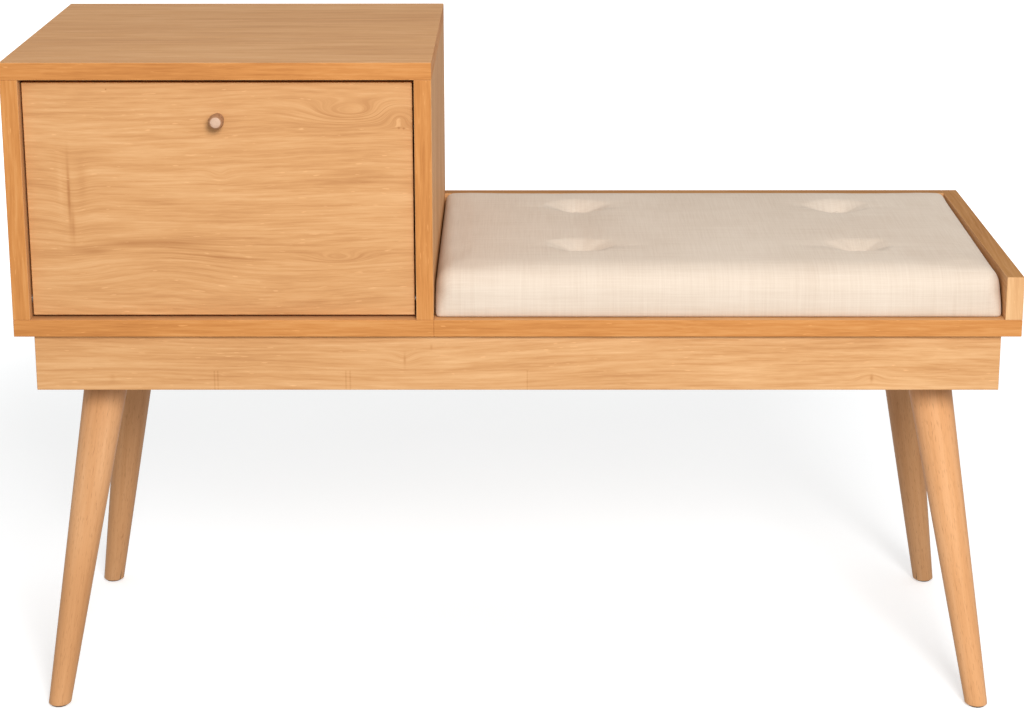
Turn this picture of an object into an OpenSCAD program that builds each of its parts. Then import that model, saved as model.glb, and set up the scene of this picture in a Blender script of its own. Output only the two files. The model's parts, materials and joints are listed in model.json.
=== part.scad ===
// Entryway bench: a cabinet box with a drop-down door at the left end of a long seat board,
// on an apron frame with four splayed turned legs. A loose tufted cushion lies on the seat.
// X runs along the bench, the front faces -Y, Z is up. The origin is on the floor, under the
// middle of the whole bench.

/* [Overall] */
// Length of the bench
body_w = 1050; // [950:1:1200]
// Depth of the bench, front edge to back edge
body_d = 400; // [380:1:450]
// Height of the cabinet's top face
total_h = 716; // [690:1:740]
// Height of the seat board's top face
seat_h = 445; // [430:1:460]
// Thickness of every panel
panel_t = 18; // [16:1:19]

/* [Cabinet] */
// Width of the cabinet box
box_w = 438; // [400:1:470]
// Thickness of the cabinet's back
back_t = 3; // [3:0.5:4]
// Depth of the groove that holds the back
groove_d = 5; // [4:1:6]
// Distance from the back edge to the groove
groove_inset = 10; // [8:1:20]

/* [Seat rims] */
// Height of the back rim and end rim above the seat board
rim_h = 46; // [30:1:60]

/* [Under-frame] */
// Height of the apron boards
apron_h = 60; // [50:1:70]
// Distance from the bench's ends to the end aprons
apron_end_inset = 20; // [10:1:30]
// Distance from the front and back edges to the long aprons
apron_side_inset = 6; // [3:1:12]
// Width of the cross rail under the seam between base panel and seat board
rail_w = 90; // [70:1:110]
// Side of each corner block
block_w = 24; // [18:1:26]
// Height of each corner block
block_h = 50; // [30:1:56]

/* [Legs] */
// Distance from the bench's edges to the middle of each foot
foot_inset = 22; // [18:1:40]
// Splay of a leg, in each of the two directions
splay = 9.3; // [5:0.1:12]
// Leg diameter at the floor
foot_d = 24; // [20:1:30]
// Leg diameter at its upper end
leg_top_d = 50; // [40:1:52]
// Height of the middle of a leg's upper end
leg_top_z = 412; // [400:1:414]
// Width of a leg plate
plate_w = 70; // [60:1:76]
// Thickness of a leg plate
plate_t = 2.5; // [2:0.5:3]
// Height of a floor glide
glide_h = 2; // [1.5:0.5:4]

/* [Door] */
// Distance from the front edges back to the door
door_setback = 10; // [6:1:14]
// Gap at each side of the door
door_side_gap = 2; // [1.5:0.5:3]
// Gap over the door
door_top_gap = 4; // [3:0.5:5]
// Gap under the door
door_low_gap = 3; // [2.5:0.5:4]
// Height of the pivot above the door's lower edge
pivot_up = 16; // [14:1:20]
// Length of the knob
knob_len = 20; // [16:1:26]
// Distance from the door's top edge down to the knob
knob_down = 38; // [30:1:60]

/* [Stay] */
// Distance from the door's pivot to each end of the stay
stay_r = 186; // [180:1:190]
// Angle at the door's pivot between the two ends, with the door shut
stay_gap_deg = 22; // [20:1:25]
// Width of the stay arm
arm_w = 16; // [14:1:18]
// Thickness of the stay arm
arm_t = 2; // [1.5:0.5:3]

/* [Cushion] */
// Thickness of the cushion
cushion_h = 50; // [40:1:60]
// Rounding of the cushion's edges
cushion_round = 20; // [15:1:22]
// Distance from the seat board's front edge to the cushion
cushion_setback = 9; // [5:1:15]
// Gap between the cushion and the boards around it
cushion_gap = 3; // [2:1:6]
// Distance between buttons along the bench
button_span_x = 300; // [200:1:320]
// Distance between buttons across the seat
button_span_y = 180; // [140:1:200]
// Distance of the buttons' middle to the right of the cushion's middle
button_shift_x = 8; // [-10:1:10]
// Distance of the buttons' middle behind the cushion's middle
button_shift_y = 8; // [-10:1:10]
// Depth of each tuft
tuft_depth = 10; // [8:1:16]

/* [Hidden] */
$fn = 48;
over = 1;
open_deg = 90;
hole_play = 0.1;
run_play = 0.05;

// Planes of the boards, with the knob counted in the bench's whole depth
knob_out = knob_len - door_setback;
front_y = -(body_d - knob_out) / 2;
back_y = front_y + body_d;
mid_y = (front_y + back_y) / 2;
left_x = -body_w / 2;
right_x = body_w / 2;
box_x = left_x + box_w;
inner_left = left_x + panel_t;
inner_right = box_x - panel_t;
board_z = seat_h - panel_t;
side_top = total_h - panel_t;
rim_top = seat_h + rim_h;
rim_x = right_x - panel_t;
rim_y = back_y - panel_t;
apron_z = board_z - apron_h;
apron_x0 = left_x + apron_end_inset;
apron_x1 = right_x - apron_end_inset;
apron_y0 = front_y + apron_side_inset;
apron_y1 = back_y - apron_side_inset;
rail_t = panel_t;

// Grooved cabinet back
groove_t = back_t + 0.4;
groove_y = back_y - groove_inset - groove_t;
back_play = 0.5;

// Dowels: the short end goes into a panel's face, the long end into a panel's edge
dowel_r = 4;
dowel_short = 11;
dowel_long = 18;
dowel_end_play = 0.5;

// Cam locks and their bolts
cam_r = 7.4;
cam_depth = 12.3;
cam_edge = 24;
cam_slot = 1.5;
cam_bolt_r = 3;
cam_bolt_in = 11;
cam_bolt_past = 3;
cam_bolt_play = 0.4;

// Wood screws
screw_r = 2;
screw_head_r = 4;
screw_head_t = 2.2;
block_screw_len = 36;
rail_screw_len = 30;
plate_screw_len = 14;
plate_screw_off = 27;
small_screw_r = 1.6;
small_head_r = 3;
small_head_t = 1.6;

// Legs: each axis leans inward in both directions, from the middle of its foot
leg_tilt = atan(sqrt(2) * tan(splay));
leg_len = leg_top_z / cos(leg_tilt);
leg_below = 12;
leg_grow = (leg_top_d - foot_d) / leg_len;
bolt_r = 4;
bolt_in_leg = 35;
bolt_in_plate = 10;
boss_r = 15;
glide_r = 9;
nail_r = 1.2;
nail_len = 14;

// Door and its pivots
door_x0 = inner_left + door_side_gap;
door_x1 = inner_right - door_side_gap;
door_z0 = seat_h + door_low_gap;
door_z1 = side_top - door_top_gap;
door_y0 = front_y + door_setback;
door_y1 = door_y0 + panel_t;
pivot_y = (door_y0 + door_y1) / 2;
pivot_z = door_z0 + pivot_up;
pin_r = 3;
pin_in_door = 14;
pin_in_bush = 8;
bush_r = 5;
bush_len = 10;
knob_x = (door_x0 + door_x1) / 2;
knob_z = door_z1 - knob_down;
knob_screw_r = 2;
knob_screw_in = 12;
knob_head_r = 4;
knob_head_t = 2.4;

// Stay: the bracket's rivet on the door and the stud on the side panel are equally far from
// the door's pivot, so the arm turns half as far as the door
rivet_off = 10;
rivet_dy = panel_t / 2 + rivet_off;
rivet_deg = acos(rivet_dy / stay_r);
stud_deg = rivet_deg - stay_gap_deg;
rivet_y = pivot_y + rivet_dy;
rivet_z = pivot_z + stay_r * sin(rivet_deg);
stud_y = pivot_y + stay_r * cos(stud_deg);
stud_z = pivot_z + stay_r * sin(stud_deg);
reach_shut = 2 * stay_r * sin(stay_gap_deg / 2);
reach_open = 2 * stay_r * sin((stay_gap_deg + open_deg) / 2);
arm_deg = atan2(stud_z - rivet_z, stud_y - rivet_y);
arm_x1 = inner_right - 8;
arm_x0 = arm_x1 - arm_t;
slot_end_play = 0.5;
arm_tail = 14;
side_play = 0.4;
rivet_r = 2.5;
rivet_head_r = 4;
rivet_head_t = 1.6;
stud_r = 3;
stud_head_r = 5.5;
stud_head_t = 2;
stud_collar_r = 4.5;
stud_flange_r = 7;
stud_flange_t = 3;
stud_root_r = 2.5;
stud_root_len = 12;
ear_t = 2;
ear_x1 = arm_x0 - side_play;
ear_x0 = ear_x1 - ear_t;
bracket_t = 2;
bracket_w = 18;
bracket_h = 28;
bracket_screw_off = 8;
bracket_screw_len = 13;

// Magnetic catch under the cabinet's top, at the left
catch_w = 46;
catch_d = 14;
catch_h = 13;
catch_x = inner_left + 70;
catch_y = door_y1 + 2;
catch_screw_off = 19;
magnet_w = 26;
magnet_d = 10;
magnet_h = 7;
magnet_out = 0.3;
strike_w = 36;
strike_h = 11;
strike_t = 1.2;
strike_z = door_z1 - 0.5 - strike_h / 2;
magnet_z = side_top - catch_h / 2;
strike_screw_len = 12;

// Cushion
cushion_x0 = box_x + cushion_gap;
cushion_x1 = rim_x - cushion_gap;
cushion_y0 = front_y + cushion_setback;
cushion_y1 = rim_y - cushion_gap;
cushion_z = seat_h + 0.3;
cushion_top = cushion_z + cushion_h;
cloth_t = 1.5;
foam_play = 0.3;
tuft_top_r = 30;
tuft_low_r = 6.5;
button_r = 6;
button_h = 5;
cord_r = 0.8;
cord_play = 0.4;
low_button_r = 8;
low_button_h = 2.5;
low_button_z = cushion_z + 1;
button_spots = [
    for (sx = [-1, 1], sy = [-1, 1])
    [
        (cushion_x0 + cushion_x1) / 2 + button_shift_x + sx * button_span_x / 2,
        (cushion_y0 + cushion_y1) / 2 + button_shift_y + sy * button_span_y / 2,
    ]
];

// Places of the fasteners
cabinet_sides = [left_x + panel_t / 2, box_x - panel_t / 2];
cabinet_dowel_ys = [front_y + 50, mid_y, back_y - 50];
cam_ys = [front_y + 100, back_y - 100];
long_apron_dowel_xs = concat(
    [for (f = [0.2, 0.5, 0.75]) left_x + f * box_w],
    [for (f = [0.15, 0.4, 0.65, 0.9]) box_x + f * (right_x - box_x)]
);
end_apron_dowel_ys = [mid_y - 90, mid_y + 90];
back_rim_dowel_xs = [for (f = [0.07, 0.28, 0.5, 0.72, 0.9]) box_x + f * (rim_x - box_x)];
end_rim_dowel_ys = [front_y + 40, mid_y, back_y - 60];
rim_cross_z = seat_h + 30;
corners = [[-1, -1], [1, -1], [-1, 1], [1, 1]];

// ---- Helpers ----

// A box between two corners
module slab(low, high) {
    translate(low) cube(high - low);
}

// Round rods along the three axes, each from its lower end upwards
module rod_x(x0, x1, y, z, r) {
    translate([x0, y, z]) rotate([0, 90, 0]) cylinder(h = x1 - x0, r = r);
}

module rod_y(x, y0, y1, z, r) {
    translate([x, y1, z]) rotate([90, 0, 0]) cylinder(h = y1 - y0, r = r);
}

module rod_z(x, y, z0, z1, r) {
    translate([x, y, z0]) cylinder(h = z1 - z0, r = r);
}

// A pan-head wood screw that points up, with its head under z
module screw_up(x, y, z, length, play = 0) {
    rod_z(x, y, z - play, z + length + play, screw_r + play);
    rod_z(x, y, z - screw_head_t, z, screw_head_r);
}

// The place of a bench corner, moved in by dx and dy
function corner_x(c, dx) = c.x * (body_w / 2 - dx);
function corner_y(c, dy) = mid_y + c.y * (body_d / 2 - dy);

// Puts its children on a leg's axis, which starts at the middle of the foot on the floor
module on_leg_axis(c) {
    translate([corner_x(c, foot_inset), corner_y(c, foot_inset), 0])
        rotate([0, leg_tilt, atan2(-c.y, -c.x)])
        children();
}

// Distance from the bench's edge to the leg's axis at height z
function leg_inset(z) = foot_inset + z * tan(splay);

// A box with all its edges rounded
module pillow(low, high, r) {
    a = low + [r, r, r];
    b = high - [r, r, r];
    slab([low.x, a.y, a.z], [high.x, b.y, b.z]);
    slab([a.x, low.y, a.z], [b.x, high.y, b.z]);
    slab([a.x, a.y, low.z], [b.x, b.y, high.z]);
    for (y = [a.y, b.y], z = [a.z, b.z])
        rod_x(a.x, b.x, y, z, r);
    for (x = [a.x, b.x], z = [a.z, b.z])
        rod_y(x, a.y, b.y, z, r);
    for (x = [a.x, b.x], y = [a.y, b.y])
        rod_z(x, y, a.z, b.z, r);
    for (x = [a.x, b.x], y = [a.y, b.y], z = [a.z, b.z])
        translate([x, y, z]) sphere(r = r);
}

// ---- Fasteners, drawn with play = 0 as pieces and with some play as the holes for them ----

// Dowels between the cabinet's sides and its top and base
module cabinet_dowel_set(play = 0, end = 0) {
    for (x = cabinet_sides, y = cabinet_dowel_ys) {
        rod_z(x, y, seat_h - dowel_short - end, seat_h + dowel_long + end, dowel_r + play);
        rod_z(x, y, side_top - dowel_long - end, side_top + dowel_short + end, dowel_r + play);
    }
}

// Dowels between the aprons and the boards over them
module apron_dowel_set(play = 0, end = 0) {
    for (x = long_apron_dowel_xs, y = [apron_y0 + panel_t / 2, apron_y1 - panel_t / 2])
        rod_z(x, y, board_z - dowel_long - end, board_z + dowel_short + end, dowel_r + play);
    for (x = [apron_x0 + panel_t / 2, apron_x1 - panel_t / 2], y = end_apron_dowel_ys)
        rod_z(x, y, board_z - dowel_long - end, board_z + dowel_short + end, dowel_r + play);
}

// Dowels under the rims, and those across both ends of the back rim
module rim_dowel_set(play = 0, end = 0) {
    mid = panel_t / 2;
    for (x = back_rim_dowel_xs)
        rod_z(x, back_y - mid, seat_h - dowel_short - end, seat_h + dowel_long + end, dowel_r + play);
    for (y = end_rim_dowel_ys)
        rod_z(right_x - mid, y, seat_h - dowel_short - end, seat_h + dowel_long + end, dowel_r + play);
    rod_x(box_x - dowel_short - end, box_x + dowel_long + end, back_y - mid, rim_cross_z, dowel_r + play);
    rod_x(rim_x - dowel_long - end, rim_x + dowel_short + end, back_y - mid, rim_cross_z, dowel_r + play);
}

// Cam discs, let into the inner faces of the cabinet's sides
module cam_set(play = 0) {
    for (y = cam_ys, z = [seat_h + cam_edge, side_top - cam_edge]) {
        rod_x(inner_left - cam_depth - play, inner_left + play, y, z, cam_r + play);
        rod_x(inner_right - play, inner_right + cam_depth + play, y, z, cam_r + play);
    }
}

// Bolts from the base and the top into the cams
module cam_bolt_set(play = 0) {
    reach = cam_edge + cam_bolt_past;
    for (x = cabinet_sides, y = cam_ys) {
        rod_z(x, y, seat_h - cam_bolt_in - play, seat_h + reach + play, cam_bolt_r + play);
        rod_z(x, y, side_top - reach - play, side_top + cam_bolt_in + play, cam_bolt_r + play);
    }
}

// Screws up through the cross rail into both boards
module rail_screw_set(play = 0) {
    for (x = [box_x - rail_w / 3, box_x + rail_w / 3], y = [-130, -45, 45, 130])
        screw_up(x, mid_y + y, board_z - rail_t, rail_screw_len, play);
}

// Screws from each corner block into its two aprons
module block_screw_set(play = 0) {
    z_long = board_z - block_h / 3;
    z_end = board_z - block_h * 2 / 3;
    for (c = corners) {
        along_x = corner_x(c, apron_end_inset + panel_t + block_w / 2);
        along_y = corner_y(c, apron_side_inset + panel_t + block_w / 2);
        face_x = corner_x(c, apron_end_inset + panel_t + block_w);
        face_y = corner_y(c, apron_side_inset + panel_t + block_w);
        translate([along_x, face_y, z_long]) rotate([-90 * c.y, 0, 0])
            screw_up(0, 0, 0, block_screw_len, play);
        translate([face_x, along_y, z_end]) rotate([0, 90 * c.x, 0])
            screw_up(0, 0, 0, block_screw_len, play);
    }
}

// Screws from the four leg plates into the boards
module plate_screw_set(play = 0) {
    for (c = corners, sx = [-1, 1], sy = [-1, 1])
        screw_up(
            corner_x(c, leg_inset(board_z)) + sx * plate_screw_off,
            corner_y(c, leg_inset(board_z)) + sy * plate_screw_off,
            board_z - plate_t, plate_screw_len, play
        );
}

// Screws from the catch body up into the cabinet's top
module catch_screw_set(play = 0) {
    for (s = [-1, 1]) {
        x = catch_x + s * catch_screw_off;
        rod_z(x, catch_y + catch_d / 2, side_top - catch_h, side_top + 10 + play, small_screw_r + play);
        rod_z(x, catch_y + catch_d / 2, side_top - catch_h - small_head_t, side_top - catch_h, small_head_r);
    }
}

// Hanger bolt of one leg, in the leg's own axis
module leg_bolt(c, play = 0) {
    on_leg_axis(c) translate([0, 0, leg_len - bolt_in_leg - play])
        cylinder(h = bolt_in_leg + bolt_in_plate + 2 * play, r = bolt_r + play);
}

// ---- Cabinet ----

wood = [0.87, 0.68, 0.47];
wood_dark = [0.77, 0.60, 0.44];
edge_wood = [0.84, 0.60, 0.36];

module cabinet_top() {
    color(wood_dark) difference() {
        slab([left_x, front_y, side_top], [box_x, back_y, total_h]);
        slab(
            [inner_left - groove_d, groove_y, side_top - over],
            [inner_right + groove_d, groove_y + groove_t, side_top + groove_d]
        );
        cabinet_dowel_set(hole_play, dowel_end_play);
        cam_bolt_set(hole_play);
        catch_screw_set(hole_play);
    }
}

// One cabinet side; x0 is its left face and groove_x the left end of its groove.
// Children are cut out as well
module cabinet_side(x0, groove_x) {
    difference() {
        slab([x0, front_y, seat_h], [x0 + panel_t, back_y, side_top]);
        slab(
            [groove_x, groove_y, seat_h - over],
            [groove_x + groove_d + over, groove_y + groove_t, side_top + over]
        );
        cabinet_dowel_set(hole_play, dowel_end_play);
        cam_set(hole_play);
        cam_bolt_set(hole_play);
        pivot_bush_set(hole_play);
        children();
    }
}

module cabinet_left_side() {
    color(edge_wood) cabinet_side(left_x, inner_left - groove_d);
}

module cabinet_right_side() {
    root_end = inner_right + stud_root_len + hole_play;
    color(edge_wood) cabinet_side(inner_right, inner_right - over) {
        rod_x(inner_right - over, root_end, stud_y, stud_z, stud_root_r + hole_play);
        rim_dowel_set(hole_play, dowel_end_play);
    }
}

module cabinet_base() {
    color(edge_wood) difference() {
        slab([left_x, front_y, board_z], [box_x, back_y, seat_h]);
        slab(
            [inner_left - groove_d, groove_y, seat_h - groove_d],
            [inner_right + groove_d, groove_y + groove_t, seat_h + over]
        );
        cabinet_dowel_set(hole_play, dowel_end_play);
        apron_dowel_set(hole_play, dowel_end_play);
        cam_bolt_set(hole_play);
        rail_screw_set(hole_play);
        plate_screw_set(hole_play);
    }
}

module cabinet_back() {
    reach = groove_d - back_play;
    color(wood_dark) slab(
        [inner_left - reach, groove_y + (groove_t - back_t) / 2, seat_h - reach],
        [inner_right + reach, groove_y + (groove_t + back_t) / 2, side_top + reach]
    );
}

// ---- Seat ----

module seat_board() {
    color(edge_wood) difference() {
        slab([box_x, front_y, board_z], [right_x, back_y, seat_h]);
        apron_dowel_set(hole_play, dowel_end_play);
        rim_dowel_set(hole_play, dowel_end_play);
        rail_screw_set(hole_play);
        plate_screw_set(hole_play);
    }
}

module back_rim() {
    color(wood_dark) difference() {
        slab([box_x, rim_y, seat_h], [rim_x, back_y, rim_top]);
        rim_dowel_set(hole_play, dowel_end_play);
    }
}

module end_rim() {
    color(wood) difference() {
        slab([rim_x, front_y, seat_h], [right_x, back_y, rim_top]);
        rim_dowel_set(hole_play, dowel_end_play);
    }
}

// ---- Under-frame ----

// An apron board along X, from y0 backwards
module long_apron(y0) {
    color(wood) difference() {
        slab([apron_x0, y0, apron_z], [apron_x1, y0 + panel_t, board_z]);
        apron_dowel_set(hole_play, dowel_end_play);
        block_screw_set(hole_play);
    }
}

// An apron board along Y between the two long ones, from x0 to the right
module end_apron(x0) {
    color(wood) difference() {
        slab([x0, apron_y0 + panel_t, apron_z], [x0 + panel_t, apron_y1 - panel_t, board_z]);
        apron_dowel_set(hole_play, dowel_end_play);
        block_screw_set(hole_play);
    }
}

module cross_rail() {
    color(wood_dark) difference() {
        slab(
            [box_x - rail_w / 2, apron_y0 + panel_t, board_z - rail_t],
            [box_x + rail_w / 2, apron_y1 - panel_t, board_z]
        );
        rail_screw_set(hole_play);
    }
}

module corner_block(c) {
    mid_x = corner_x(c, apron_end_inset + panel_t + block_w / 2);
    mid = corner_y(c, apron_side_inset + panel_t + block_w / 2);
    color(wood_dark) difference() {
        translate([mid_x, mid, board_z - block_h / 2])
            cube([block_w, block_w, block_h], center = true);
        block_screw_set(hole_play);
    }
}

// ---- Legs ----

module leg(c) {
    color(wood) difference() {
        on_leg_axis(c) translate([0, 0, -leg_below])
            cylinder(
                h = leg_len + leg_below,
                r1 = (foot_d - leg_grow * leg_below) / 2,
                r2 = leg_top_d / 2
            );
        translate([corner_x(c, foot_inset), corner_y(c, foot_inset), glide_h - leg_top_d])
            cube(2 * leg_top_d, center = true);
        leg_bolt(c, hole_play);
        glide(c, hole_play);
    }
}

// Steel plate under the board, with a slanted threaded boss that the leg's end seats on
module leg_plate(c) {
    x = corner_x(c, leg_inset(board_z));
    y = corner_y(c, leg_inset(board_z));
    color("silver") difference() {
        union() {
            slab(
                [x - plate_w / 2, y - plate_w / 2, board_z - plate_t],
                [x + plate_w / 2, y + plate_w / 2, board_z]
            );
            intersection() {
                on_leg_axis(c) translate([0, 0, leg_len]) cylinder(h = 2 * boss_r, r = boss_r);
                slab([x - plate_w, y - plate_w, 0], [x + plate_w, y + plate_w, board_z - plate_t / 2]);
            }
        }
        leg_bolt(c, hole_play);
        plate_screw_set(hole_play);
    }
}

module leg_bolts() {
    color("silver") for (c = corners)
        leg_bolt(c);
}

// A nail-on glide under the foot
module glide(c, play = 0) {
    x = corner_x(c, foot_inset);
    y = corner_y(c, foot_inset);
    rod_z(x, y, 0, glide_h, glide_r);
    rod_z(x, y, glide_h / 2, glide_h + nail_len + play, nail_r + play);
}

module floor_glides() {
    color("dimgray") for (c = corners)
        glide(c);
}

module plate_screws() {
    color("silver") plate_screw_set();
}

module block_screws() {
    color("silver") block_screw_set();
}

module rail_screws() {
    color("silver") rail_screw_set();
}

module cabinet_dowels() {
    color(wood) cabinet_dowel_set();
}

module apron_dowels() {
    color(wood) apron_dowel_set();
}

module rim_dowels() {
    color(wood) rim_dowel_set();
}

module cam_locks() {
    color("silver") difference() {
        cam_set();
        cam_bolt_set(cam_bolt_play);
        for (y = cam_ys, z = [seat_h + cam_edge, side_top - cam_edge], x = [inner_left, inner_right]) {
            translate([x, y, z]) cube([2 * cam_slot, 9, 1.6], center = true);
            translate([x, y, z]) cube([2 * cam_slot, 1.6, 9], center = true);
        }
    }
}

module cam_bolts() {
    color("silver") cam_bolt_set();
}

// ---- Door ----

// Bushes in the sides, solid when they are drawn as holes
module pivot_bush_set(play = 0) {
    rod_x(inner_left - bush_len - play, inner_left + play, pivot_y, pivot_z, bush_r + play);
    rod_x(inner_right - play, inner_right + bush_len + play, pivot_y, pivot_z, bush_r + play);
}

// Pins in the door's ends, each with its free end in a bush
module pivot_pin_set(play = 0) {
    rod_x(inner_left - pin_in_bush - play, door_x0 + pin_in_door + play, pivot_y, pivot_z, pin_r + play);
    rod_x(door_x1 - pin_in_door - play, inner_right + pin_in_bush + play, pivot_y, pivot_z, pin_r + play);
}

module pivot_bushes() {
    color("ivory") difference() {
        pivot_bush_set();
        pivot_pin_set(run_play);
    }
}

module pivot_pins() {
    color("silver") pivot_pin_set();
}

module door_panel() {
    color(wood) difference() {
        slab([door_x0, door_y0, door_z0], [door_x1, door_y1, door_z1]);
        pivot_pin_set(hole_play);
        knob_screw_body(hole_play);
        bracket_screw_set(hole_play);
        strike_screw_set(hole_play);
    }
}

// A small turned knob with a flat front
module knob() {
    color(wood_dark) difference() {
        translate([knob_x, door_y0, knob_z]) rotate([90, 0, 0]) rotate_extrude()
            polygon([
                [0, 0], [6.5, 0], [6.5, 1.5], [5, 4], [5, 7], [7.6, 10.5], [8, 12.5],
                [7.8, knob_len - 5], [6.9, knob_len - 2.2], [5.4, knob_len], [0, knob_len],
            ]);
        knob_screw_body(hole_play);
    }
}

// Screw through the door into the knob, with its head on the door's inner face
module knob_screw_body(play = 0) {
    rod_y(knob_x, door_y0 - knob_screw_in - play, door_y1 + play, knob_z, knob_screw_r + play);
    rod_y(knob_x, door_y1, door_y1 + knob_head_t, knob_z, knob_head_r);
}

module knob_screw() {
    color("silver") knob_screw_body();
}

// ---- Stay ----

// Puts its children at the rivet, with local X along the shut arm and local Z along the bench
module at_rivet(x) {
    translate([x, rivet_y, rivet_z]) rotate([arm_deg, 0, 0]) rotate([90, 0, 90]) children();
}

// A flat bar's outline with round ends, from s0 to s1
module bar_outline(s0, s1, r) {
    translate([s0, -r]) square([s1 - s0, 2 * r]);
    translate([s0, 0]) circle(r = r);
    translate([s1, 0]) circle(r = r);
}

module stay_arm() {
    color("silver") difference() {
        at_rivet(arm_x0) linear_extrude(height = arm_t)
            bar_outline(0, reach_open + arm_tail, arm_w / 2);
        at_rivet(arm_x0 - over) linear_extrude(height = arm_t + 2 * over)
            bar_outline(reach_shut - slot_end_play, reach_open + slot_end_play, stud_r + run_play);
        rod_x(arm_x0 - over, arm_x1 + over, rivet_y, rivet_z, rivet_r + run_play);
    }
}

module stay_bracket() {
    color("silver") difference() {
        union() {
            slab(
                [ear_x1 - bracket_w, door_y1, rivet_z - bracket_h / 2],
                [ear_x1, door_y1 + bracket_t, rivet_z + bracket_h / 2]
            );
            slab([ear_x0, door_y1, rivet_z - 7], [ear_x1, rivet_y, rivet_z + 7]);
            rod_x(ear_x0, ear_x1, rivet_y, rivet_z, 7);
        }
        rod_x(ear_x0 - over, ear_x1 + over, rivet_y, rivet_z, rivet_r + run_play);
        bracket_screw_set(hole_play);
    }
}

module bracket_screw_set(play = 0) {
    for (s = [-1, 1]) {
        z = rivet_z + s * bracket_screw_off;
        x = ear_x0 - 8;
        y = door_y1 + bracket_t;
        rod_y(x, y - bracket_screw_len - play, y + play, z, small_screw_r + play);
        rod_y(x, y, y + small_head_t, z, small_head_r);
    }
}

module bracket_screws() {
    color("silver") bracket_screw_set();
}

module stay_rivet() {
    tail = arm_x1 + side_play;
    color("silver") {
        rod_x(ear_x0 - rivet_head_t, ear_x0, rivet_y, rivet_z, rivet_head_r);
        rod_x(ear_x0, tail, rivet_y, rivet_z, rivet_r);
        rod_x(tail, tail + rivet_head_t, rivet_y, rivet_z, rivet_head_r);
    }
}

module stay_stud() {
    head = arm_x0 - side_play;
    color("silver") {
        rod_x(head - stud_head_t, head, stud_y, stud_z, stud_head_r);
        rod_x(head, arm_x1 + side_play, stud_y, stud_z, stud_r);
        rod_x(arm_x1 + side_play, inner_right - stud_flange_t, stud_y, stud_z, stud_collar_r);
        rod_x(inner_right - stud_flange_t, inner_right, stud_y, stud_z, stud_flange_r);
        rod_x(inner_right, inner_right + stud_root_len, stud_y, stud_z, stud_root_r);
    }
}

// ---- Catch ----

module magnet_block(play = 0) {
    slab(
        [catch_x - magnet_w / 2 - play, catch_y - magnet_out, magnet_z - magnet_h / 2 - play],
        [catch_x + magnet_w / 2 + play, catch_y + magnet_d + play, magnet_z + magnet_h / 2 + play]
    );
}

module catch_body() {
    color("white") difference() {
        slab(
            [catch_x - catch_w / 2, catch_y, side_top - catch_h],
            [catch_x + catch_w / 2, catch_y + catch_d, side_top]
        );
        magnet_block(hole_play);
        catch_screw_set(hole_play);
    }
}

module catch_magnet() {
    color("gray") magnet_block();
}

module catch_screws() {
    color("silver") catch_screw_set();
}

// Flush screws of the strike plate
module strike_screw_set(play = 0) {
    for (s = [-1, 1]) {
        x = catch_x + s * strike_w / 3;
        rod_y(x, door_y1 - strike_screw_len - play, door_y1 + over, strike_z, small_screw_r + play);
        rod_y(x, door_y1, door_y1 + strike_t, strike_z, small_head_r + play);
    }
}

module strike_plate() {
    color("silver") difference() {
        slab(
            [catch_x - strike_w / 2, door_y1, strike_z - strike_h / 2],
            [catch_x + strike_w / 2, door_y1 + strike_t, strike_z + strike_h / 2]
        );
        strike_screw_set(hole_play);
    }
}

module strike_screws() {
    color("silver") strike_screw_set();
}

// ---- Cushion ----

// Craters in the cushion's top, grown by extra on every side
module tufts(extra = 0) {
    slope = (tuft_top_r - tuft_low_r) / tuft_depth;
    for (p = button_spots)
        translate([p.x, p.y, cushion_top - tuft_depth - extra])
            cylinder(
                h = tuft_depth + extra + over,
                r1 = tuft_low_r + extra,
                r2 = tuft_top_r + extra + slope * over
            );
}

module cord_set(play = 0) {
    for (p = button_spots)
        rod_z(p.x, p.y, low_button_z + low_button_h, cushion_top - tuft_depth, cord_r + play);
}

module cushion_box(inset, r) {
    difference() {
        pillow(
            [cushion_x0 + inset, cushion_y0 + inset, cushion_z + inset],
            [cushion_x1 - inset, cushion_y1 - inset, cushion_top - inset],
            r
        );
        tufts(inset);
        cord_set(cord_play);
    }
}

// A flat sheet in the flat part of the cushion's underside, set in by inset
module bottom_sheet(inset, z0, z1) {
    slab(
        [cushion_x0 + cushion_round + inset, cushion_y0 + cushion_round + inset, z0],
        [cushion_x1 - cushion_round - inset, cushion_y1 - cushion_round - inset, z1]
    );
}

module cushion_cover() {
    color([0.86, 0.78, 0.69]) difference() {
        cushion_box(0, cushion_round);
        cushion_box(cloth_t, cushion_round - cloth_t);
        bottom_sheet(2, cushion_z - over, cushion_z + 2 * cloth_t);
    }
}

module cushion_bottom_cloth() {
    color([0.80, 0.72, 0.62]) difference() {
        bottom_sheet(2 + foam_play, cushion_z, cushion_z + cloth_t);
        low_button_set(foam_play);
    }
}

module cushion_foam() {
    inset = cloth_t + foam_play;
    color("khaki") difference() {
        cushion_box(inset, cushion_round - inset);
        low_button_set(foam_play);
    }
}

// Domed cloth-covered buttons at the bottom of the tufts
module cushion_buttons() {
    z = cushion_top - tuft_depth;
    dome_r = (button_r * button_r + button_h * button_h) / (2 * button_h);
    color([0.84, 0.75, 0.66]) for (p = button_spots)
        intersection() {
            translate([p.x, p.y, z + button_h - dome_r]) sphere(r = dome_r);
            rod_z(p.x, p.y, z, z + button_h + over, button_r + over);
        }
}

module low_button_set(play = 0) {
    for (p = button_spots)
        rod_z(p.x, p.y, low_button_z - play, low_button_z + low_button_h + play, low_button_r + play);
}

module cushion_low_buttons() {
    color([0.80, 0.72, 0.62]) low_button_set();
}

module tuft_cords() {
    color("beige") cord_set();
}

// ---- Nodes ----

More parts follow.
